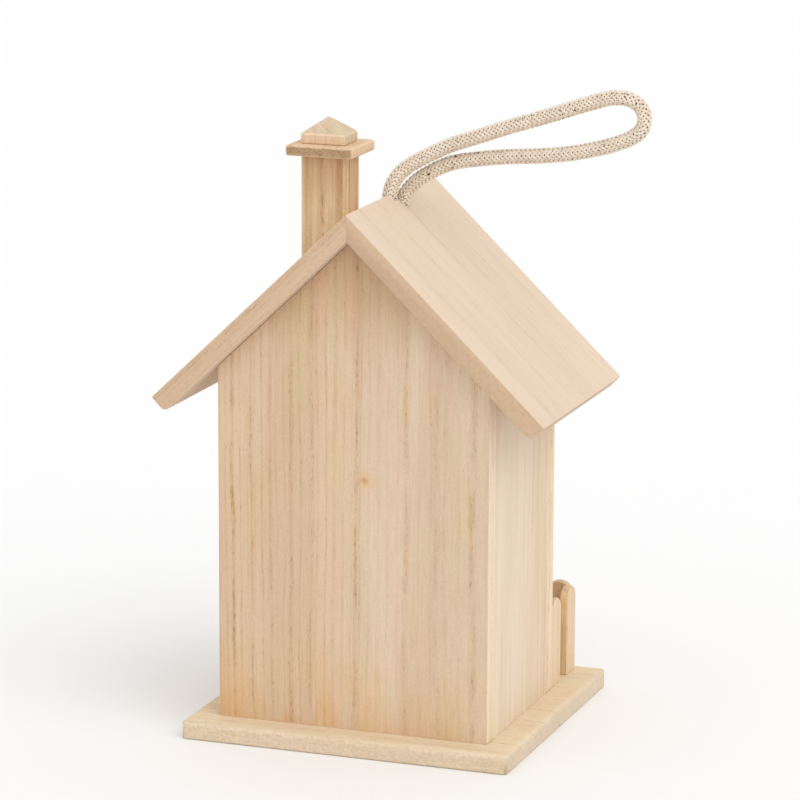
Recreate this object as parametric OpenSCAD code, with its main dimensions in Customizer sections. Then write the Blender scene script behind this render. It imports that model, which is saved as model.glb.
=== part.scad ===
// Small wooden birdhouse with a gable roof, a chimney, a picket fence and a rope loop.
// Origin: centre of the base board's underside. +Z up, the entrance faces -Y.

/* [Boards] */
// Thickness of every wall and roof board
board_t = 7; // [5:0.5:9]
// Thickness of the base board
base_t = 7; // [5:0.5:10]
// Radius of the sanded edges of the base board
base_round = 2; // [0.5:0.25:3]
// Radius of the sanded edge under each eave
eave_round = 2.2; // [0.5:0.1:3]

/* [House] */
// Outside width of the house
house_w = 100; // [90:1:120]
// Outside depth of the house, front face to back face
house_d = 73; // [65:0.5:90]
// Height of the side walls at their outer face
side_wall_h = 126.5; // [110:0.5:150]
// How far the base board stands out at the sides
side_margin = 10.5; // [8:0.5:15]
// How far the base board stands out at the back
back_margin = 10; // [8:0.5:15]
// Depth of the front yard, from the front wall to the base's front edge
yard_d = 32; // [30:0.5:45]

/* [Roof] */
// Roof pitch in degrees
pitch = 43.7; // [38:0.1:48]
// Length of the left roof board down the slope
roof_slope_left = 99; // [90:0.5:110]
// Length of the right roof board down the slope
roof_slope_right = 100; // [90:0.5:110]
// Roof overhang past the back wall
overhang_back = 6.5; // [3:0.5:12]
// Roof overhang past the front wall
overhang_front = 8.5; // [3:0.5:12]

/* [Entrance and perch] */
// Diameter of the entrance hole
entrance_d = 32; // [25:1:38]
// Height of the entrance hole's centre
entrance_z = 110; // [95:1:120]
// Diameter of the perch dowel
perch_d = 6; // [5:0.5:8]
// Length of the perch in front of the wall
perch_out = 24; // [15:1:26]
// Distance from the entrance's centre down to the perch
perch_drop = 28; // [22:1:36]

/* [Chimney] */
// Width of the chimney post, across the house
chimney_w = 16; // [12:0.5:20]
// Depth of the chimney post
chimney_d = 15; // [12:0.5:20]
// Distance of the chimney's centre from the ridge
chimney_x = 22; // [18:0.5:35]
// Depth position of the chimney's centre
chimney_y = 11; // [0:0.5:20]
// Height of the top of the chimney post
chimney_top = 204.3; // [200:0.1:215]
// Width of the slab on the post
slab_w = 25; // [20:0.5:28]
// Depth of the slab
slab_d = 23; // [19:0.5:26]
// Thickness of the slab
slab_t = 3.8; // [2:0.1:5]
// Width of the pointed cap block
cap_w = 16.5; // [12:0.5:19]
// Depth of the cap block
cap_d = 13; // [11:0.5:18]
// How far the cap block sits off the middle of the slab
cap_shift = 0.4; // [0:0.1:1]
// Height of the cap block's upright sides
cap_band = 3.5; // [1:0.5:5]
// Height of the cap block's point above its sides
cap_rise = 5.8; // [3:0.1:10]

/* [Fence] */
// Width of a picket
picket_w = 10; // [7:0.5:11]
// Thickness of a picket
picket_t = 3; // [2:0.5:4]
// Height of a picket above the base board
picket_h = 32.5; // [28:0.5:45]
// Number of pickets along the front
front_pickets = 6; // [4:1:6]
// How far the front row stands in from the base's front edge
fence_inset = 1.5; // [1:0.5:5]
// Width of the fence rail, measured up
rail_h = 5; // [3:0.5:8]
// Height of the rail's lower edge above the base board
rail_z = 20; // [5:1:22]

/* [Rope] */
// Diameter of the braided rope
rope_d = 5.2; // [4:0.1:5.4]
// Radial room round the rope in its holes
rope_gap = 0.15; // [0.1:0.05:0.3]

/* [Nails] */
// Diameter of a nail's shank
nail_d = 1.2; // [1:0.1:1.6]
// Length of a nail
nail_l = 20; // [16:1:25]

/* [Hidden] */
$fn = 48;

PINE = [0.88, 0.76, 0.60];
ROOF_PINE = [0.91, 0.80, 0.65];
TRIM_PINE = [0.82, 0.68, 0.50];
COTTON = [0.88, 0.81, 0.72];
STEEL = [0.70, 0.70, 0.70];

tiny = 0.05;

// House and base
base_w = house_w + 2 * side_margin;
base_d = back_margin + house_d + yard_d;
back_y = base_d / 2 - back_margin;
front_y = back_y - house_d;
eave_z = base_t + side_wall_h;
under_ridge_z = eave_z + house_w / 2 * tan(pitch);
ridge_z = under_ridge_z + board_t / cos(pitch);
roof_back_y = back_y + overhang_back;
roof_front_y = front_y - overhang_front;
perch_z = entrance_z - perch_drop;
perch_room = 0.05;

// Fence
fence_y = -base_d / 2 + fence_inset;
fence_half_w = house_w / 2 - 1.5;
side_pitch = front_y - fence_y - picket_t - picket_w;
front_pitch = (2 * fence_half_w - picket_w) / (front_pickets - 1);

// Nails through the base into the bottom edges of the walls
nail_x = 30;
nail_side_y = [-5, 25];
nail_head_d = 2.4;
nail_head_t = 0.8;
nail_room = 0.05;
nail_points = [
    for (x = [-nail_x, nail_x], y = [front_y + board_t / 2, back_y - board_t / 2]) [x, y],
    for (x = [-1, 1], y = nail_side_y) [x * (house_w - board_t) / 2, y]
];

// Rope: two strands leave the knot, go up through the roof and meet in a loop.
// The route runs from the knot through the ridge hole, round the loop and back.
rope_hole_a = [0.5, 10];
rope_hole_b = [-2.5, 4.5];
knot_top = 171;
knot_h = 14;
knot_r = 7.5;
knot_centre = [-1, 7];
tail_l = 9;
rope_sides = 10;
rope_route = [
    [0.5, 10, knot_top], [0.5, 10, 181], [0.5, 10, 188],
    [-0.5, 10, 193.5], [-3, 9.5, 198], [-7, 9, 201.5], [-13, 9, 205], [-21, 8.5, 209],
    [-32, 8.5, 213], [-43, 8.5, 217], [-54, 8, 220.5], [-64, 8, 224],
    [-73, 7.5, 227], [-81, 7.5, 229], [-86, 7.5, 228.5], [-89.5, 7, 226], [-91, 7, 222],
    [-90, 7, 218.5], [-86.5, 6.5, 215.5], [-81, 6.5, 213], [-73, 6, 210.5], [-64, 6, 208.5],
    [-53, 6, 207], [-42, 5.5, 206], [-31, 5.5, 204.5], [-21, 5.5, 202.5],
    [-13.5, 5, 199], [-7, 4.5, 194.5], [-3.5, 4.5, 190],
    [-2.5, 4.5, 184], [-2.5, 4.5, 178], [-2.5, 4.5, knot_top]
];

// Points of a rectangle from p to q whose corners, counted from the lower left
// corner anticlockwise, have the radii r
function arc_points(c, r, a, steps = 6) =
    r <= 0 ? [c] : [for (i = [0:steps]) c + r * [cos(a + 90 * i / steps), sin(a + 90 * i / steps)]];
function round_rect(p, q, r) = concat(
    arc_points([p[0] + r[0], p[1] + r[0]], r[0], 180),
    arc_points([q[0] - r[1], p[1] + r[1]], r[1], 270),
    arc_points([q[0] - r[2], q[1] - r[2]], r[2], 0),
    arc_points([p[0] + r[3], q[1] - r[3]], r[3], 90)
);

// Extrusions of an outline drawn in X and Z along Y, and of one in Y and Z along X
module along_y(y0, y1) {
    translate([0, y1, 0]) rotate([90, 0, 0]) linear_extrude(y1 - y0) children();
}
module along_x(x0, x1) {
    translate([x0, 0, 0]) rotate([90, 0, 90]) linear_extrude(x1 - x0) children();
}

// Section outline of the house under the roof boards, in X and Z
module gable_outline() {
    polygon([
        [-house_w / 2, base_t], [house_w / 2, base_t], [house_w / 2, eave_z],
        [0, under_ridge_z], [-house_w / 2, eave_z]
    ]);
}

module nail_holes() {
    for (p = nail_points)
        translate([p[0], p[1], -tiny])
            cylinder(d = nail_d + 2 * nail_room, h = nail_l + 2 * tiny + nail_room);
}

module rope_holes() {
    for (p = [rope_hole_a, rope_hole_b])
        translate([p[0], p[1], knot_top])
            cylinder(d = rope_d + 2 * rope_gap, h = ridge_z - knot_top + 5);
}

module base_board() {
    color(PINE) difference() {
        intersection() {
            linear_extrude(base_t)
                polygon(round_rect([-base_w / 2, -base_d / 2], [base_w / 2, base_d / 2],
                    [for (i = [1:4]) base_round]));
            along_y(-base_d, base_d)
                polygon(round_rect([-base_w / 2, 0], [base_w / 2, base_t],
                    [base_round / 2, base_round / 2, base_round, base_round]));
            along_x(-base_w, base_w)
                polygon(round_rect([-base_d / 2, 0], [base_d / 2, base_t],
                    [base_round / 2, base_round / 2, base_round, base_round]));
        }
        nail_holes();
        for (p = nail_points)
            translate([p[0], p[1], -tiny])
                cylinder(d = nail_head_d + 2 * nail_room, h = nail_head_t + 3 * tiny + nail_room);
    }
}

module back_wall() {
    color(PINE) difference() {
        along_y(back_y - board_t, back_y) gable_outline();
        nail_holes();
    }
}

module front_wall() {
    color(PINE) difference() {
        along_y(front_y, front_y + board_t) gable_outline();
        translate([0, front_y - tiny, entrance_z]) rotate([-90, 0, 0])
            cylinder(d = entrance_d, h = board_t + 2 * tiny, $fn = 96);
        translate([0, front_y - tiny, perch_z]) rotate([-90, 0, 0])
            cylinder(d = perch_d + 2 * perch_room, h = board_t + 2 * tiny);
        nail_holes();
    }
}

// Side wall on the +X side, its top edge bevelled to the roof's slope
module side_wall() {
    inner_x = house_w / 2 - board_t;
    difference() {
        along_y(front_y + board_t, back_y - board_t)
            polygon([
                [inner_x, base_t], [house_w / 2, base_t], [house_w / 2, eave_z],
                [inner_x, eave_z + board_t * tan(pitch)]
            ]);
        nail_holes();
    }
}

module right_wall() {
    color(PINE) side_wall();
}

module left_wall() {
    color(PINE) mirror([1, 0, 0]) side_wall();
}

// Section of a roof board on the +X side, mitred upright at the ridge
module roof_outline(slope) {
    end_x = slope * cos(pitch);
    end_z = ridge_z - slope * sin(pitch);
    down = [-sin(pitch), -cos(pitch)];
    along = [-cos(pitch), sin(pitch)];
    low_corner = [end_x, end_z] + board_t * down;
    round_centre = low_corner + eave_round * (along - down);
    polygon(concat(
        [[0, under_ridge_z], [0, ridge_z], [end_x, end_z]],
        [for (i = [0:6]) round_centre
            + eave_round * (down * sin(15 * i) - along * cos(15 * i))]
    ));
}

module right_roof_panel() {
    color(ROOF_PINE) difference() {
        along_y(roof_front_y, roof_back_y) roof_outline(roof_slope_right);
        rope_holes();
    }
}

module left_roof_panel() {
    color(ROOF_PINE) difference() {
        mirror([1, 0, 0]) along_y(roof_front_y, roof_back_y) roof_outline(roof_slope_left);
        rope_holes();
    }
}

module perch() {
    color(TRIM_PINE) translate([0, front_y + board_t, perch_z]) rotate([90, 0, 0])
        rotate_extrude()
            polygon([
                [0, 0], [perch_d / 2, 0], [perch_d / 2, board_t + perch_out - 0.8],
                [perch_d / 2 - 0.8, board_t + perch_out], [0, board_t + perch_out]
            ]);
}

// Post whose foot is cut to the slope of the +X roof board
module chimney_post() {
    x0 = chimney_x - chimney_w / 2;
    x1 = chimney_x + chimney_w / 2;
    color(TRIM_PINE) along_y(chimney_y - chimney_d / 2, chimney_y + chimney_d / 2)
        polygon([
            [x0, ridge_z - x0 * tan(pitch)], [x1, ridge_z - x1 * tan(pitch)],
            [x1, chimney_top], [x0, chimney_top]
        ]);
}

module chimney_slab() {
    color(PINE) translate([chimney_x - slab_w / 2, chimney_y - slab_d / 2, chimney_top])
        cube([slab_w, slab_d, slab_t]);
}

module cap_outline(w) {
    polygon([
        [-w / 2, 0], [w / 2, 0], [w / 2, cap_band],
        [0, cap_band + cap_rise], [-w / 2, cap_band]
    ]);
}

module chimney_cap() {
    color(PINE) translate([chimney_x + cap_shift, chimney_y, chimney_top + slab_t])
        intersection() {
            along_y(-cap_d / 2, cap_d / 2) cap_outline(cap_w);
            along_x(-cap_w / 2, cap_w / 2) cap_outline(cap_d);
        }
}

// Outline of a picket with a half-round top, standing on the base board
module picket_outline() {
    r = picket_w / 2;
    translate([-r, base_t]) square([picket_w, picket_h - r]);
    intersection() {
        translate([0, base_t + picket_h - r]) circle(r);
        translate([-r, base_t + picket_h - r - tiny]) square([picket_w, picket_w]);
    }
}

module front_picket(number) {
    color(PINE) translate([-fence_half_w + picket_w / 2 + (number - 1) * front_pitch, 0, 0])
        along_y(fence_y, fence_y + picket_t) picket_outline();
}

// Side picket of the fence on the +X side, counted from the front wall
module side_picket(number) {
    y = front_y - picket_w / 2 - (number - 1) * side_pitch;
    translate([0, y, 0])
        along_x(house_w / 2 - picket_t, house_w / 2) picket_outline();
}

module right_picket(number) {
    color(PINE) side_picket(number);
}

module left_picket(number) {
    color(PINE) mirror([1, 0, 0]) side_picket(number);
}

// Rails behind the pickets, on the yard's side
module front_fence_rail() {
    x = house_w / 2 - 2 * picket_t;
    color(TRIM_PINE) translate([-x, fence_y + picket_t, base_t + rail_z])
        cube([2 * x, picket_t, rail_h]);
}

module side_rail() {
    y0 = fence_y + picket_t;
    translate([house_w / 2 - 2 * picket_t, y0, base_t + rail_z])
        cube([picket_t, front_y - y0, rail_h]);
}

module right_fence_rail() {
    color(TRIM_PINE) side_rail();
}

module left_fence_rail() {
    color(TRIM_PINE) mirror([1, 0, 0]) side_rail();
}

module base_nails() {
    color(STEEL) for (p = nail_points)
        translate([p[0], p[1], 2 * tiny]) {
            cylinder(d = nail_head_d, h = nail_head_t);
            cylinder(d = nail_d, h = nail_l - 2 * tiny);
        }
}

// A ring of points round route point i, square to the route there
function unit(v) = v / norm(v);
function ring(route, i, r, sides) =
    let (
        last = len(route) - 1,
        t = unit(route[min(i + 1, last)] - route[max(i - 1, 0)]),
        u = unit(cross(t, [0, 1, 0])),
        v = cross(u, t)
    )
    [for (k = [0:sides - 1]) route[i] + r * (u * cos(360 * k / sides) + v * sin(360 * k / sides))];

module tube(route, r, sides) {
    rings = len(route);
    points = [for (i = [0:rings - 1]) each ring(route, i, r, sides)];
    skin = [
        for (i = [0:rings - 2], k = [0:sides - 1])
            let (n = (k + 1) % sides)
            [i * sides + k, i * sides + n, (i + 1) * sides + n, (i + 1) * sides + k]
    ];
    first_end = [for (k = [sides - 1:-1:0]) k];
    last_end = [for (k = [0:sides - 1]) (rings - 1) * sides + k];
    polyhedron(points, concat(skin, [first_end, last_end]), convexity = 6);
}

module hanging_rope() {
    color(COTTON) tube(rope_route, rope_d / 2, rope_sides);
}

// Overhand knot of both strands, with its two short tails
module rope_knot() {
    color(COTTON) translate([knot_centre[0], knot_centre[1], knot_top - knot_h]) {
        rotate_extrude()
            intersection() {
                polygon(round_rect([-knot_r, 0], [knot_r, knot_h], [4, 4, 3, 3]));
                square([knot_r, knot_h]);
            }
        for (x = [-1, 1])
            translate([x * rope_d * 0.55, 0, -tail_l]) cylinder(d = rope_d, h = tail_l + 1);
    }
}

base_board();
back_wall();
front_wall();
left_wall();
right_wall();
left_roof_panel();
right_roof_panel();
perch();
chimney_post();
chimney_slab();
chimney_cap();
front_picket(1);  // front_picket_1
front_picket(2);  // front_picket_2
front_picket(3);  // front_picket_3
front_picket(4);  // front_picket_4
front_picket(5);  // front_picket_5
front_picket(6);  // front_picket_6
left_picket(1);  // left_picket_1
left_picket(2);  // left_picket_2
right_picket(1);  // right_picket_1
right_picket(2);  // right_picket_2
front_fence_rail();
left_fence_rail();
right_fence_rail();
base_nails();
hanging_rope();
rope_knot();
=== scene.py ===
"""A small unfinished wooden birdhouse with a chimney, a picket fence and a rope loop."""

import math

import bmesh
import bpy
import numpy as np
from mathutils import Matrix, Vector


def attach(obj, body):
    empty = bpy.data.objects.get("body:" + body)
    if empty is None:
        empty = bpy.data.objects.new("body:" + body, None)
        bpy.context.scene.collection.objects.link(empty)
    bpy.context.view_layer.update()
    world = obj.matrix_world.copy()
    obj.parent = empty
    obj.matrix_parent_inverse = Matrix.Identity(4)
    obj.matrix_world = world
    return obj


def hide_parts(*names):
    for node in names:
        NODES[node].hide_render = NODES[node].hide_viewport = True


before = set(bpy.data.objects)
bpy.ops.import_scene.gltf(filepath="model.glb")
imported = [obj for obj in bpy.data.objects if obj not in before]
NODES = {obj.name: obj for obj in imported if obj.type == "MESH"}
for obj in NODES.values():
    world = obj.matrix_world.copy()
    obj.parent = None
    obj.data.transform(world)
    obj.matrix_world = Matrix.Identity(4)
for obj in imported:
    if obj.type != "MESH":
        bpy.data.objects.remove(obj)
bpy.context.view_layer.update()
X, Y, Z = Vector((1, 0, 0)), Vector((0, 1, 0)), Vector((0, 0, 1))

# ---------------------------------------------------------------- camera

CAMERA_AZIMUTH, CAMERA_ELEVATION, CAMERA_ROLL = 199.8, 12.77, 0.25
CAMERA_TARGET = Vector((-0.0005, 0.0005, 0.1154))
CAMERA_DISTANCE = 1.5
CAMERA_LENS = 190.5
CLIP_NEAR, CLIP_FAR = 0.05, 50


def make_camera():
    a, e = math.radians(CAMERA_AZIMUTH), math.radians(CAMERA_ELEVATION)
    back = Vector((math.sin(a) * math.cos(e), -math.cos(a) * math.cos(e), math.sin(e)))
    data = bpy.data.cameras.new("camera")
    data.lens = CAMERA_LENS
    data.clip_start, data.clip_end = CLIP_NEAR, CLIP_FAR
    camera = bpy.data.objects.new("camera", data)
    bpy.context.collection.objects.link(camera)
    camera.location = CAMERA_TARGET + back * CAMERA_DISTANCE
    camera.rotation_mode = "QUATERNION"
    camera.rotation_quaternion = (-back).to_track_quat("-Z", "Y")
    roll = Matrix.Rotation(math.radians(CAMERA_ROLL), 3, "Z")
    camera.rotation_quaternion @= roll.to_quaternion()
    bpy.context.scene.camera = camera


make_camera()

# ---------------------------------------------------------------- rope

ROPE_D = 0.0052
# The route of the rope's middle: up out of the knot, round the loop and back down.
ROPE_ROUTE = [
    (0.0005, 0.010, 0.171), (0.0005, 0.010, 0.181), (0.0005, 0.010, 0.188),
    (-0.0005, 0.010, 0.1935), (-0.003, 0.0095, 0.198), (-0.007, 0.009, 0.2015),
    (-0.013, 0.009, 0.205), (-0.021, 0.0085, 0.209), (-0.032, 0.0085, 0.213),
    (-0.043, 0.0085, 0.217), (-0.054, 0.008, 0.2205), (-0.064, 0.008, 0.224),
    (-0.073, 0.0075, 0.227), (-0.081, 0.0075, 0.229), (-0.086, 0.0075, 0.2285),
    (-0.0895, 0.007, 0.226), (-0.091, 0.007, 0.222), (-0.090, 0.007, 0.2185),
    (-0.0865, 0.0065, 0.2155), (-0.081, 0.0065, 0.213), (-0.073, 0.006, 0.2105),
    (-0.064, 0.006, 0.2085), (-0.053, 0.006, 0.207), (-0.042, 0.0055, 0.206),
    (-0.031, 0.0055, 0.2045), (-0.021, 0.0055, 0.2025), (-0.0135, 0.005, 0.199),
    (-0.007, 0.0045, 0.1945), (-0.0035, 0.0045, 0.190), (-0.0025, 0.0045, 0.184),
    (-0.0025, 0.0045, 0.178), (-0.0025, 0.0045, 0.171),
]
STRANDS = 8  # in each of the two directions round the braid
BRAID_PITCH = 0.0136  # length in which a strand goes once round
STRAND_HALF_W, STRAND_HALF_T = 0.00047, 0.00034
WEAVE_DEPTH = 0.00026  # how far a strand goes in and out
WEAVE_HASTE = 1.6  # above 1, a strand stays longer on top or below and crosses over faster
CORE_GAP = 0.00012  # how far the core's surface lies below the inner strands' middles
STEP = 0.0005  # between the rings of points along a strand
SIDES = 8  # points in one of those rings
SAMPLES = 40  # of the smooth curve between two points of a route


def smooth_line(points):
    """Points a step apart on a smooth curve through the given ones, and their distances along."""
    p = np.array(points, float)
    at = np.concatenate([[0], np.cumsum(np.linalg.norm(np.diff(p, axis=0), axis=1))])
    slope = np.gradient(p, at, axis=0)
    fine = []
    for i in range(len(p) - 1):
        span = at[i + 1] - at[i]
        t = np.linspace(0, 1, SAMPLES, endpoint=False)[:, None]
        fine.append(
            (2 * t**3 - 3 * t**2 + 1) * p[i]
            + (t**3 - 2 * t**2 + t) * span * slope[i]
            + (3 * t**2 - 2 * t**3) * p[i + 1]
            + (t**3 - t**2) * span * slope[i + 1]
        )
    fine = np.vstack(fine + [p[-1:]])
    along = np.concatenate([[0], np.cumsum(np.linalg.norm(np.diff(fine, axis=0), axis=1))])
    places = np.linspace(0, along[-1], int(along[-1] / STEP) + 1)
    return np.column_stack([np.interp(places, along, fine[:, k]) for k in range(3)]), places


def unit(rows):
    """Each row at length 1."""
    return rows / np.linalg.norm(rows, axis=1)[:, None]


def carried_frame(line):
    """Two directions square to a line at each of its points, turning as little as possible."""
    tangent = unit(np.gradient(line, axis=0))
    side = np.cross(tangent[0], (0.0, 1.0, 0.0))
    if np.linalg.norm(side) < 0.3:
        side = np.cross(tangent[0], (1.0, 0.0, 0.0))
    sides = []
    for t in tangent:
        side = side - t * np.dot(side, t)
        side = side / np.linalg.norm(side)
        sides.append(side)
    sides = np.array(sides)
    return sides, np.cross(tangent, sides)


def tube_faces(rings, first):
    """The sides and two ends of a closed tube whose points start at number first."""
    i, k = np.meshgrid(np.arange(rings - 1), np.arange(SIDES), indexing="ij")
    n = (k + 1) % SIDES
    quads = np.stack([i * SIDES + k, i * SIDES + n, (i + 1) * SIDES + n, (i + 1) * SIDES + k], -1)
    faces = (quads.reshape(-1, 4) + first).tolist()
    faces.append([first + k for k in range(SIDES)][::-1])
    faces.append([first + (rings - 1) * SIDES + k for k in range(SIDES)])
    return faces


class Braid:
    """Mesh of one or more lengths of two-over, two-under braided rope round a painted-shade core.
    """

    def __init__(self):
        self.points, self.faces, self.shades = [], [], []
        self.count = 0
        self.random = np.random.default_rng(7)

    def tube(self, centres, wide, thick, half_w, half_t, shade):
        """Add a tube with an oval section, twice half_w by twice half_t."""
        angle = 2 * np.pi * np.arange(SIDES) / SIDES
        ring = (
            centres[:, None]
            + half_w * np.cos(angle)[None, :, None] * wide[:, None]
            + half_t * np.sin(angle)[None, :, None] * thick[:, None]
        )
        self.faces.extend(tube_faces(len(centres), self.count))
        self.points.append(ring.reshape(-1, 3))
        self.shades.append(np.full(len(centres) * SIDES, shade))
        self.count += len(centres) * SIDES

    def rope(self, line, places, diameter):
        """Add a length of rope round a line: its strands, then its core."""
        u, v = carried_frame(line)
        middle = diameter / 2 - STRAND_HALF_T - WEAVE_DEPTH / 2
        for turn in (1, -1):
            for k in range(STRANDS):
                angle = 2 * np.pi * (k / STRANDS + turn * places / BRAID_PITCH)
                # A strand meets those of the other direction at whole numbers of crossing
                crossing = 2 * STRANDS * places / BRAID_PITCH + 2 * k * turn
                wave = turn * np.sin(np.pi / 2 * (crossing + 0.5))
                lift = np.clip(WEAVE_HASTE * wave, -1, 1)
                out = np.cos(angle)[:, None] * u + np.sin(angle)[:, None] * v
                centres = line + (middle + WEAVE_DEPTH * lift)[:, None] * out
                wide = unit(np.cross(out, np.gradient(centres, axis=0)))
                shade = self.random.uniform(0.2, 1)
                self.tube(centres, wide, out, STRAND_HALF_W, STRAND_HALF_T, shade)
        core = middle - WEAVE_DEPTH - CORE_GAP
        self.tube(line, u, v, core, core, 0.0)

    def piece(self, name):
        """The mesh as an object. A point's strand_shade is 0 on the core and more on strands."""
        mesh = bpy.data.meshes.new(name)
        mesh.from_pydata(np.vstack(self.points).tolist(), [], self.faces)
        shade = mesh.attributes.new("strand_shade", "FLOAT", "POINT")
        shade.data.foreach_set("value", np.concatenate(self.shades))
        mesh.polygons.foreach_set("use_smooth", [True] * len(mesh.polygons))
        mesh.update()
        made = bpy.data.objects.new(name, mesh)
        bpy.context.collection.objects.link(made)
        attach(made, "root")
        return made


KNOT_TURNS = 2.6
KNOT_COIL_R = 0.0049
KNOT_POINTS = 60
KNOT_CENTRE = (-0.001, 0.007)
KNOT_LOW, KNOT_MIDDLE, KNOT_HIGH = 0.1597, 0.164, 0.1683
TAIL_TOP, TAIL_END = 0.157, 0.1485
TAIL_SPREAD = 0.0029
STRAIGHT = 0.002  # that far below the loop's ends the strands turn inwards


def make_knot():
    """Both strands run down through a coil of rope and end in two short tails."""
    braid = Braid()
    for end, side in ((ROPE_ROUTE[0], 1), (ROPE_ROUTE[-1], -1)):
        x = KNOT_CENTRE[0] + side * TAIL_SPREAD
        points = [
            end,
            (end[0], end[1], end[2] - STRAIGHT),
            ((end[0] + x) / 2, (end[1] + KNOT_CENTRE[1]) / 2, KNOT_MIDDLE),
            (x, KNOT_CENTRE[1], TAIL_TOP),
            (x, KNOT_CENTRE[1], TAIL_END),
        ]
        braid.rope(*smooth_line(points), ROPE_D)
    turns = np.linspace(0, 2 * np.pi * KNOT_TURNS, KNOT_POINTS)
    coil = np.column_stack([
        KNOT_CENTRE[0] + KNOT_COIL_R * np.cos(turns),
        KNOT_CENTRE[1] + KNOT_COIL_R * np.sin(turns),
        np.linspace(KNOT_LOW, KNOT_HIGH, KNOT_POINTS),
    ])
    braid.rope(*smooth_line(coil), ROPE_D)
    knot = braid.piece("overhand_knot")
    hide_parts("rope_knot")
    return knot


def make_rope():
    """The loop, from the top of the knot out through the roof and back."""
    line, places = smooth_line(ROPE_ROUTE)
    braid = Braid()
    braid.rope(line, places, ROPE_D)
    rope = braid.piece("braided_rope")
    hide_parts("hanging_rope")
    return rope


knot = make_knot()
rope = make_rope()

# ---------------------------------------------------------------- material nodes


class Nodes:
    """Short calls for building one material's node tree."""

    def __init__(self, name):
        self.material = bpy.data.materials.new(name)
        self.material.use_nodes = True
        self.tree = self.material.node_tree
        self.shader = self.tree.nodes["Principled BSDF"]

    def add(self, kind, **settings):
        node = self.tree.nodes.new(kind)
        for key, value in settings.items():
            setattr(node, key, value)
        return node

    def put(self, value, socket):
        if isinstance(value, bpy.types.NodeSocket):
            self.tree.links.new(value, socket)
        else:
            socket.default_value = value

    def surface(self, **values):
        """Give the shader's inputs constants or links: Base_Color is "Base Color" and so on."""
        for name, value in values.items():
            self.put(value, self.shader.inputs[name.replace("_", " ")])

    def place(self):
        return self.add("ShaderNodeTexCoord").outputs["Object"]

    def attribute(self, name):
        return self.add("ShaderNodeAttribute", attribute_name=name).outputs["Fac"]

    def math(self, operation, a, b=0.0, clamp=False):
        node = self.add("ShaderNodeMath", operation=operation, use_clamp=clamp)
        for value, socket in zip((a, b), node.inputs):
            self.put(value, socket)
        return node.outputs[0]

    def times(self, a, b):
        return self.math("MULTIPLY", a, b)

    def plus(self, a, b):
        return self.math("ADD", a, b)

    def vector(self, operation, a, b=(0, 0, 0)):
        node = self.add("ShaderNodeVectorMath", operation=operation)
        self.put(a, node.inputs[0])
        self.put(b, node.inputs[1])
        return node.outputs["Value"] if operation in ("DOT_PRODUCT", "LENGTH") else node.outputs[0]

    def noise(self, at, scale, detail=2.0, roughness=0.5):
        node = self.add("ShaderNodeTexNoise")
        self.put(at, node.inputs["Vector"])
        node.inputs["Scale"].default_value = scale
        node.inputs["Detail"].default_value = detail
        node.inputs["Roughness"].default_value = roughness
        return node.outputs["Fac"]

    def fade(self, value, low, high, to_low=0.0, to_high=1.0, curve="SMOOTHSTEP"):
        """to_low where value is at low, to_high where it is at high, and a slope between."""
        node = self.add("ShaderNodeMapRange", interpolation_type=curve)
        for v, socket in zip((value, low, high, to_low, to_high), node.inputs):
            self.put(v, socket)
        return node.outputs[0]

    def mix(self, amount, a, b, blend="MIX"):
        node = self.add("ShaderNodeMix", data_type="RGBA", blend_type=blend)
        self.put(amount, node.inputs[0])
        for value, socket in ((a, node.inputs[6]), (b, node.inputs[7])):
            self.put((*value, 1) if isinstance(value, tuple) else value, socket)
        return node.outputs[2]

    def tint(self, colour, amount, by):
        """The colour multiplied by another, as far as amount says."""
        return self.mix(amount, colour, by, "MULTIPLY")

    def bump(self, height, strength, distance):
        node = self.add("ShaderNodeBump")
        node.inputs["Strength"].default_value = strength
        node.inputs["Distance"].default_value = distance
        self.put(height, node.inputs["Height"])
        self.tree.links.new(node.outputs[0], self.shader.inputs["Normal"])


def srgb(r, g, b):
    """The linear colour of an sRGB one given from 0 to 255."""
    return tuple(
        c / 12.92 if c <= 0.04045 else ((c + 0.055) / 1.055) ** 2.4
        for c in (r / 255, g / 255, b / 255)
    )


# ---------------------------------------------------------------- wood

SWAY, WAVER = 0.006, 0.0012  # how far the rings wander, slowly and quickly along the log
WEAK_RINGS = 2.6  # fainter rings to each strong one
UNEVEN = 0.4  # strength of the faintest ring, and of a ring where it is broken

# What each mark multiplies the wood's tone by
PALE_BAND, DARK_BAND = (1.03, 1.03, 1.03), (0.965, 0.945, 0.92)
SAWN = (0.90, 0.88, 0.865)
SAPWOOD = (1.03, 1.08, 1.14)
STREAK = (0.80, 0.69, 0.56)
# Painted shade, warm and brown, under the roof and under the chimney's slab
UNDER_COVER_SHADE = (0.84, 0.76, 0.66)
SOAKED = (1.0, 0.88, 0.71)
BLUSH = (1.01, 0.955, 0.965)
SALLOW = (0.975, 0.995, 0.93)
FIBRE = (0.935, 0.92, 0.90)
GRIT = (0.935, 0.92, 0.905)
RING = (0.83, 0.765, 0.69)
STAIN = (1.0, 0.86, 0.64)
PORE = (0.72, 0.63, 0.53)
END_GRAIN = (0.84, 0.78, 0.72)
KNOT_HALO, KNOT_HEART = (0.99, 0.90, 0.70), (0.86, 0.65, 0.41)
# What the worn arrises are mixed with
RUBBED = (1.05, 1.04, 1.02)


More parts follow.
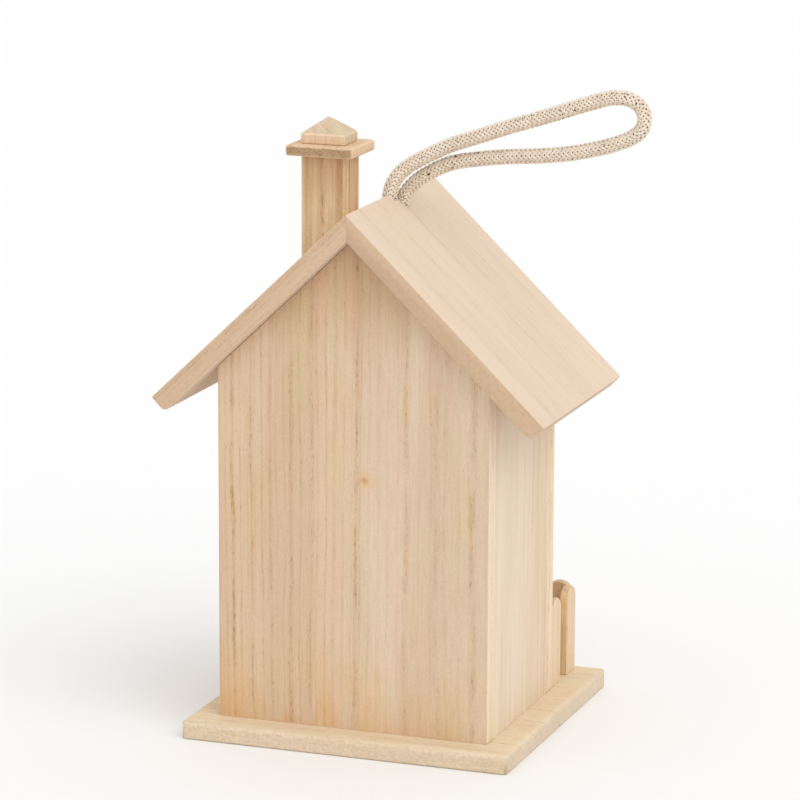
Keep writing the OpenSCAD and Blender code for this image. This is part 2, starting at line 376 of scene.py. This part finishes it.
class WoodNodes(Nodes):
    """A material's node tree with the place in the log that its board was sawn from."""

    def __init__(self, name, axes, pith, seed):
        super().__init__(name)
        self.seed = seed
        self.at = self.place()
        self.facing = self.add("ShaderNodeNewGeometry").outputs["Normal"]
        log = self.add("ShaderNodeCombineXYZ")
        for axis, socket in zip(axes, log.inputs):
            self.put(self.vector("DOT_PRODUCT", self.at, axis), socket)
        self.log = log.outputs[0]
        flat = self.vector("MULTIPLY", self.log, (1, 1, 0))
        self.from_pith = self.vector("LENGTH", self.vector("SUBTRACT", flat, (*pith, 0)))
        self.wandering = self.from_pith
        for noise, reach in ((self.grain(25, 6, detail=1), SWAY), (self.grain(260, 40), WAVER)):
            swing = self.math("SUBTRACT", noise, 0.5)
            self.wandering = self.plus(self.wandering, self.times(swing, reach))

    def grain(self, across, along, shift=0.0, detail=2.0, roughness=0.5):
        """Noise drawn out along the grain. across and along are its changes in a metre."""
        drawn = self.vector("MULTIPLY", self.log, (across, across, along))
        own = (self.seed + shift, self.seed * 1.7, self.seed * 0.3 - shift)
        return self.noise(self.vector("ADD", drawn, own), 1, detail, roughness)

    def rings(self, spacing, width, shift):
        """Soft bands where one year's wood ends and the next one's open pores begin."""
        years = self.plus(self.math("DIVIDE", self.wandering, spacing), shift)
        part = self.math("SUBTRACT", self.math("FRACT", years), 0.5)
        white = self.add("ShaderNodeTexWhiteNoise", noise_dimensions="1D")
        self.put(self.math("FLOOR", years), white.inputs["W"])
        strong = self.fade(white.outputs["Value"], 0, 1, UNEVEN, 1.0, curve="LINEAR")
        band = self.fade(self.math("ABSOLUTE", part), 0.0, width / 2, 1.0, 0.0)
        return self.times(band, strong)

    def facing_along(self, way, low, high):
        """How far a face looks along a direction or against it."""
        seen = self.math("ABSOLUTE", self.vector("DOT_PRODUCT", self.facing, way))
        return self.fade(seen, low, high)

    def height(self):
        return self.vector("DOT_PRODUCT", self.at, Z)


def growth_rings(n, spacing, figure):
    """Strong rings with weaker ones between them, all broken here and there along the grain."""
    broken = n.fade(n.grain(320, 80), 0.34, 0.58, UNEVEN, 1.0)
    strong = n.times(n.rings(spacing, 0.34, 0.22), broken)
    weak = n.times(n.rings(spacing / WEAK_RINGS, 0.5, 0.8), n.times(broken, 0.6))
    return n.times(n.math("MAXIMUM", strong, weak), figure)


def open_pores(n, line):
    """Short dashes, most of them along the rings."""
    dashes = n.plus(n.grain(2900, 400, detail=1), n.times(line, 0.27))
    return n.fade(dashes, 0.70, 0.82)


# Each of the next three gives a list of marks: how strongly it shows, and its tint


def age_and_shade_marks(n, band, figure, streaks, painted_shade, foot):
    """Brown streaks along the grain, painted shade browning upwards, and yellowing downwards."""
    marks = []
    if streaks:
        streak = n.fade(n.grain(320, 14, 7.0, roughness=0.6), 0.38, 0.62)
        marks.append((n.times(streak, streaks), STREAK))
    # Painted shade, darker towards the top, where the roof or the chimney's slab overhangs
    if painted_shade:
        brown = n.plus(n.fade(n.height(), *painted_shade), n.times(band, 0.6))
        marks.append((n.fade(brown, 0.3, 1.5), UNDER_COVER_SHADE))
    if foot:
        low = n.times(n.fade(n.height(), *foot), figure)
        patch = n.fade(n.grain(90, 20, 11.0), 0.4, 0.6)
        marks.append((n.times(low, patch), SOAKED))
    return marks


def patch_marks(n, lines):
    """Pink and yellow-green patches, fainter in wood whose rings are faint."""
    blush = n.fade(n.grain(150, 28, 5.0), 0.46, 0.68, 0.0, 0.2 + 0.5 * lines)
    sallow = n.fade(n.grain(130, 24, 9.0), 0.46, 0.68, 0.0, 0.4 + 0.5 * lines)
    return [(blush, BLUSH), (sallow, SALLOW)]


def ring_marks(n, line, pore, lines, pores):
    """The rings, yellow in places, and the pores."""
    shown = n.times(line, lines)
    stained = n.fade(n.grain(110, 34, 3.0, detail=1), 0.60, 0.70)
    return [
        (shown, RING),
        (n.times(stained, shown), STAIN),
        (n.times(pore, 0.85 * pores), PORE),
    ]


def pin_knot(n, colour, at):
    """A ragged brown knot with a yellow halo."""
    near = n.vector("LENGTH", n.vector("SUBTRACT", n.at, at))
    ragged = n.plus(near, n.times(n.noise(n.at, 900), 0.0016))
    colour = n.tint(colour, n.fade(ragged, 0.0010, 0.0065, 0.75, 0.0), KNOT_HALO)
    return n.tint(colour, n.fade(ragged, 0.0011, 0.0027, 0.8, 0.0), KNOT_HEART)


def wood_surface(n, colour, line, pore, fibre, grit, cut):
    """Raised by fibres and grit, and hollow at the pores, the rings and the end grain."""
    rough = n.plus(n.times(fibre, 0.2), n.times(pore, 0.12))
    n.surface(Base_Color=colour, Roughness=n.math("ADD", rough, 0.6, clamp=True),
              Specular_IOR_Level=0.25)
    raised = n.plus(n.times(fibre, 0.4), grit)
    hollow = n.plus(pore, n.times(n.plus(line, cut), 0.35))
    n.bump(n.math("SUBTRACT", raised, hollow), 0.25, 0.00012)


def wood(name, tone, axes, pith, ring, seed, lines=1.0, pores=1.0, fibres=1.0, streaks=0.0,
         heart=None, painted_shade=None, foot=None, edge=None, end=END_GRAIN, knot=None):
    """Pale, unfinished, ring-porous wood.

    axes are two directions across the grain and the one along it. pith is where the middle of
    the log lies along the first two, and ring is the spacing of the growth rings. lines, pores,
    fibres and streaks are how strongly each of them shows. heart is the two distances from the
    pith between which the figure grows stronger and the wood warmer, and painted_shade is the two
    heights between which painted shade, warm and brown, darkens it upwards, where the roof or
    the chimney's slab overhangs it. foot is the two heights, upper one first, between which it
    yellows downwards. edge is a second tone, the direction that the faces with it look in and how
    roughly they are sawn. end is the tint of the end grain, and knot is the place of a pin
    knot."""
    n = WoodNodes(name, axes, pith, seed)
    figure = n.fade(n.from_pith, *heart, 0.6, 1.0) if heart else 1.0
    line = growth_rings(n, ring, figure)
    pore = open_pores(n, line)
    fibre = n.grain(1300, 85, detail=3, roughness=0.7)
    grit = n.grain(2600, 1000, roughness=0.7)
    band = n.grain(75, 7)

    base = tone
    marks = []
    if edge:
        edge_tone, way, sawn_roughly = edge
        turned = n.facing_along(way, 0.6, 0.85)
        base = n.mix(turned, tone, edge_tone)
        sawn = n.times(turned, sawn_roughly)
        fibres = n.math("MAXIMUM", sawn, fibres)
        mottle = n.fade(n.noise(n.at, 750, 2, 0.6), 0.36, 0.66)
        marks.append((n.times(mottle, sawn), SAWN))
    if heart:
        marks.append((n.fade(n.wandering, *heart, 1.0, 0.0), SAPWOOD))
    marks += age_and_shade_marks(n, band, figure, streaks, painted_shade, foot)
    marks += patch_marks(n, lines)
    marks.append((n.times(n.fade(fibre, 0.36, 0.7), fibres), FIBRE))
    marks.append((n.times(n.fade(grit, 0.3, 0.7), fibres), GRIT))
    marks += ring_marks(n, line, pore, lines, pores)
    # End grain is darker and speckled
    speck = n.fade(n.grain(1500, 1500), 0.36, 0.64, 0.65, 1.0)
    cut = n.times(speck, n.facing_along(axes[2], 0.6, 0.9))
    marks.append((cut, end))

    # All of them tint the slow pale and dark bands, and the worn arrises are paler
    swing = 0.2 + 0.3 * lines
    shade = n.mix(n.fade(band, 0.36, 0.64, 0.5 - swing, 0.5 + swing), PALE_BAND, DARK_BAND)
    for amount, by in marks:
        shade = n.tint(shade, amount, by)
    rubbed = n.fade(n.noise(n.at, 300), 0.3, 0.6, 0.15, 0.5)
    shade = n.mix(n.times(n.attribute("worn"), rubbed), shade, RUBBED)
    colour = n.tint(base, 1.0, shade)
    if knot:
        colour = pin_knot(n, colour, knot)
    wood_surface(n, colour, line, pore, fibre, grit, cut)
    return n.material


# ---------------------------------------------------------------- cotton and wire

COTTON_DULL, COTTON_BRIGHT = srgb(231, 213, 190), srgb(243, 232, 216)
COTTON_PATCH, COTTON_FUZZ, HUSK = srgb(222, 203, 181), srgb(196, 172, 148), srgb(104, 80, 60)
# The core's two colours are painted shade, seen through the holes between the strands
HOLE_SHADE_PALE, HOLE_SHADE_DARK = srgb(174, 146, 118), srgb(82, 60, 42)
WIRE_DARK, WIRE_BRIGHT = (0.45, 0.45, 0.46), (0.66, 0.66, 0.67)


def cotton(name):
    """Undyed cotton yarn of fine fibres with husk specks, over a core of painted shade, dark in
    places.
    """
    n = Nodes(name)
    at = n.place()
    strand = n.attribute("strand_shade")
    colour = n.mix(strand, COTTON_DULL, COTTON_BRIGHT)
    colour = n.mix(n.fade(n.noise(at, 260), 0.35, 0.7, 0.0, 0.5), colour, COTTON_PATCH)
    fuzz = n.noise(at, 5200, 2, 0.7)
    colour = n.mix(n.fade(fuzz, 0.4, 0.75, 0.0, 0.3), colour, COTTON_FUZZ)
    speck = n.fade(n.noise(at, 900, 1), 0.66, 0.71)
    crowd = n.fade(n.noise(at, 120, 1), 0.42, 0.62, 0.1, 1.0)
    colour = n.mix(n.times(speck, crowd), colour, HUSK)
    # Painted shade: where the core shows between the strands it is dark, paler in places
    hole_shade = n.mix(n.fade(n.noise(at, 170, 1), 0.48, 0.62), HOLE_SHADE_PALE, HOLE_SHADE_DARK)
    colour = n.mix(n.fade(strand, 0.05, 0.15, 1.0, 0.0), colour, hole_shade)
    n.surface(Base_Color=colour, Roughness=0.95, Specular_IOR_Level=0.15,
              Sheen_Weight=0.15, Sheen_Roughness=0.6)
    n.bump(fuzz, 0.5, 0.0002)
    return n.material


def wire(name):
    """Bright drawn nail wire."""
    n = Nodes(name)
    mark = n.noise(n.vector("MULTIPLY", n.place(), (1, 1, 0.1)), 6000)
    n.surface(Base_Color=n.mix(mark, WIRE_DARK, WIRE_BRIGHT),
              Roughness=n.fade(mark, 0.2, 0.8, 0.28, 0.5), Metallic=1.0)
    n.bump(mark, 0.1, 0.0001)
    return n.material


# ---------------------------------------------------------------- boards

SHARP = math.radians(25)  # edges that turn more than this are arrises
FLAT = math.radians(0.5)  # faces that turn less than this are one face
KEPT_SHARP = math.radians(50)  # edges that turn more than this are shaded sharp
SMALL_HOLE = 5e-6  # square metres: each face inside a nail's or the rope's hole is smaller
ALONG = 0.99  # cosine for a face that looks along a direction
EASE_STEPS = 3
WELD = 1e-6


def arrises(bm, least_face, joined):
    """The sharp edges that get sanded. Edges of faces smaller than least_face stay as they are:
    those of the small holes. So do the edges of the faces that look along joined, which is the
    way to the board that this one is mitred to."""
    return [
        e
        for e in bm.edges
        if len(e.link_faces) == 2
        and e.calc_face_angle() > SHARP
        and min(f.calc_area() for f in e.link_faces) > least_face
        and not (joined and any(abs(f.normal.dot(joined)) > ALONG for f in e.link_faces))
    ]


def eased(node, ease, material, least_face=SMALL_HOLE, joined=None):
    """A copy of a CAD node in a material, with its arrises sanded off and marked as worn."""
    bm = bmesh.new()
    bm.from_mesh(NODES[node].data)
    bmesh.ops.remove_doubles(bm, verts=bm.verts, dist=WELD)
    bmesh.ops.dissolve_limit(bm, angle_limit=FLAT, verts=bm.verts, edges=bm.edges)
    new = set()
    if ease:
        made = bmesh.ops.bevel(
            bm, geom=arrises(bm, least_face, joined), offset=ease, offset_type="OFFSET",
            segments=EASE_STEPS, profile=0.5, affect="EDGES", clamp_overlap=False,
            loop_slide=True,
        )
        new.update(made["faces"])
    worn = bm.verts.layers.float.new("worn")
    for v in bm.verts:
        v[worn] = 1.0 if v.link_faces and new.issuperset(v.link_faces) else 0.0
    for f in bm.faces:
        f.smooth = True
    mesh = bpy.data.meshes.new(node + "_eased")
    bm.to_mesh(mesh)
    bm.free()
    piece = bpy.data.objects.new(node + "_eased", mesh)
    bpy.context.collection.objects.link(piece)
    mesh.set_sharp_from_angle(angle=KEPT_SHARP)
    mesh.materials.append(material)
    weighted = piece.modifiers.new("weighted", "WEIGHTED_NORMAL")
    weighted.keep_sharp = True
    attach(piece, "root")
    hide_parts(node)


ROOF_PITCH = math.radians(43.7)
SIN, COS = math.sin(ROOF_PITCH), math.cos(ROOF_PITCH)
# Directions of the grain: two across it and the one along it
UPRIGHT, LEVEL, FORWARD = (X, Y, Z), (Y, Z, X), (X, Z, Y)
LEFT_SLOPE = (Y, Vector((-SIN, 0, COS)), Vector((-COS, 0, -SIN)))
RIGHT_SLOPE = (Y, Vector((SIN, 0, COS)), Vector((COS, 0, -SIN)))

WALL, WALL_EDGE = srgb(222, 196, 167), srgb(238, 217, 190)
SIDE_WALL = srgb(227, 206, 181)
ROOF, ROOF_EDGE = srgb(222, 202, 181), srgb(214, 185, 156)
BASE, BASE_EDGE = srgb(230, 212, 184), srgb(233, 215, 189)
POST, POST_SIDE = srgb(231, 204, 170), srgb(244, 221, 187)
SLAB = srgb(226, 198, 166)
CAP, CAP_SIDE = srgb(217, 199, 174), srgb(240, 214, 186)
FENCE, FENCE_EDGE = srgb(230, 207, 178), srgb(236, 210, 162)
BASE_END, SLAB_END, CAP_END = (0.88, 0.89, 0.94), (0.54, 0.47, 0.37), (0.97, 0.96, 0.95)


def make_walls():
    # The back wall gets painted shade under the roof, from 0.13 m upwards
    back = wood("back_wall_wood", WALL, UPRIGHT, (-0.075, -0.0325), ring=0.00564, seed=3.1,
                heart=(0.103, 0.113), painted_shade=(0.13, 0.172), foot=(0.045, 0.008),
                edge=(WALL_EDGE, X, 0.0), knot=(-0.0046, 0.0475, 0.097))
    front = wood("front_wall_wood", WALL, UPRIGHT, (0.09, 0.05), ring=0.0055, seed=8.4,
                 heart=(0.085, 0.125), edge=(WALL_EDGE, X, 0.0))
    left = wood("left_wall_wood", SIDE_WALL, UPRIGHT, (-0.02, 0.032), ring=0.006, seed=5.2,
                lines=0.4, pores=0.4, fibres=0.4, streaks=0.18, heart=(0.036, 0.048))
    right = wood("right_wall_wood", SIDE_WALL, UPRIGHT, (0.02, -0.05), ring=0.005, seed=12.7,
                 lines=0.7, pores=0.7, fibres=0.7)
    eased("back_wall", 0.0005, back)
    eased("front_wall", 0.0005, front)
    eased("left_wall", 0.0004, left)
    eased("right_wall", 0.0004, right)


def make_base():
    """The CAD base board is rounded already. Its nails keep their CAD mesh."""
    base = wood("base_wood", BASE, LEVEL, (0.1, -0.05), ring=0.006, seed=40.2,
                lines=0.3, pores=0.6, fibres=0.9, edge=(BASE_EDGE, Y, 1.0), end=BASE_END)
    eased("base_board", 0, base)
    NODES["base_nails"].data.materials[0] = wire("nail_wire")


def make_chimney():
    # The post gets painted shade under its slab, from 0.183 m upwards
    post = wood("chimney_wood", POST, UPRIGHT, (-0.03, -0.04), ring=0.0045, seed=51.0,
                lines=0.9, pores=0.8, fibres=1.2, streaks=0.6, painted_shade=(0.183, 0.200),
                edge=(POST_SIDE, X, 0.0))
    slab = wood("slab_wood", SLAB, FORWARD, (0.05, 0.17), ring=0.003, seed=62.0,
                lines=0.7, fibres=1.2, end=SLAB_END)
    cap = wood("cap_wood", CAP, UPRIGHT, (0.06, 0.07), ring=0.003, seed=71.5,
               lines=0.9, pores=0.6, fibres=1.2, streaks=0.2, edge=(CAP_SIDE, Y, 0.6),
               end=CAP_END)
    eased("chimney_post", 0.0004, post)
    eased("chimney_slab", 0.0009, slab)
    eased("chimney_cap", 0.0005, cap)


def make_roof():
    left = wood("left_roof_wood", ROOF, LEFT_SLOPE, (-0.1, 0.2), ring=0.008, seed=21.3,
                lines=0.2, pores=0.25, fibres=0.35, edge=(ROOF_EDGE, Y, 0.55))
    right = wood("right_roof_wood", ROOF, RIGHT_SLOPE, (0.09, 0.08), ring=0.006, seed=30.9,
                 lines=0.6, pores=0.6, fibres=0.6, edge=(ROOF_EDGE, Y, 0.55))
    eased("left_roof_panel", 0.0005, left, joined=X)
    eased("right_roof_panel", 0.0005, right, joined=X)


def make_fence_and_perch():
    """The pickets' narrow sides look along X at the front and along Y at the sides."""
    front, side = (
        wood(name, FENCE, UPRIGHT, (0.06, 0.09), ring=0.004, seed=83.0,
             lines=0.8, pores=0.9, edge=(FENCE_EDGE, narrow, 0.0))
        for name, narrow in (("front_fence_wood", X), ("side_fence_wood", Y))
    )
    rail = wood("rail_wood", FENCE, LEVEL, (0.05, -0.02), ring=0.004, seed=90.0,
                lines=0.8, pores=0.8)
    dowel = wood("dowel_wood", FENCE, FORWARD, (0.05, 0.04), ring=0.003, seed=95.0,
                 lines=0.6, pores=0.8)
    for node in sorted(NODES):
        if "picket" in node:
            eased(node, 0.0004, front if "front" in node else side, least_face=0)
        if "rail" in node:
            eased(node, 0.0003, rail)
    NODES["perch"].data.materials[0] = dowel


make_walls()
make_base()
make_chimney()
make_roof()
make_fence_and_perch()
yarn = cotton("rope_cotton")
rope.data.materials.append(yarn)
knot.data.materials.append(yarn)

# ---------------------------------------------------------------- floor and light

FLOOR_HALF = 6.0
FLOOR_GREY = (0.88, 0.88, 0.88, 1)
SKY_STRENGTH = 0.9
SUN_FROM = (-0.55, 0.35, 0.76)
SUN_STRENGTH = 0.95
SUN_WIDTH = math.radians(50)


def make_floor():
    h = FLOOR_HALF
    mesh = bpy.data.meshes.new("floor")
    mesh.from_pydata([(-h, -h, 0), (h, -h, 0), (h, h, 0), (-h, h, 0)], [], [(0, 1, 2, 3)])
    floor = bpy.data.objects.new("floor", mesh)
    bpy.context.collection.objects.link(floor)
    n = Nodes("floor_paper")
    n.surface(Base_Color=FLOOR_GREY, Roughness=0.9)
    mesh.materials.append(n.material)


def make_light():
    world = bpy.data.worlds.new("studio")
    world.use_nodes = True
    background = world.node_tree.nodes["Background"]
    background.inputs["Color"].default_value = (1, 1, 1, 1)
    background.inputs["Strength"].default_value = SKY_STRENGTH
    bpy.context.scene.world = world
    data = bpy.data.lights.new("soft_sun", "SUN")
    data.energy = SUN_STRENGTH
    data.angle = SUN_WIDTH
    sun = bpy.data.objects.new("soft_sun", data)
    bpy.context.collection.objects.link(sun)
    sun.rotation_mode = "QUATERNION"
    sun.rotation_quaternion = Vector(SUN_FROM).to_track_quat("Z", "Y")
    bpy.context.scene.view_settings.view_transform = "Standard"


make_floor()
make_light()
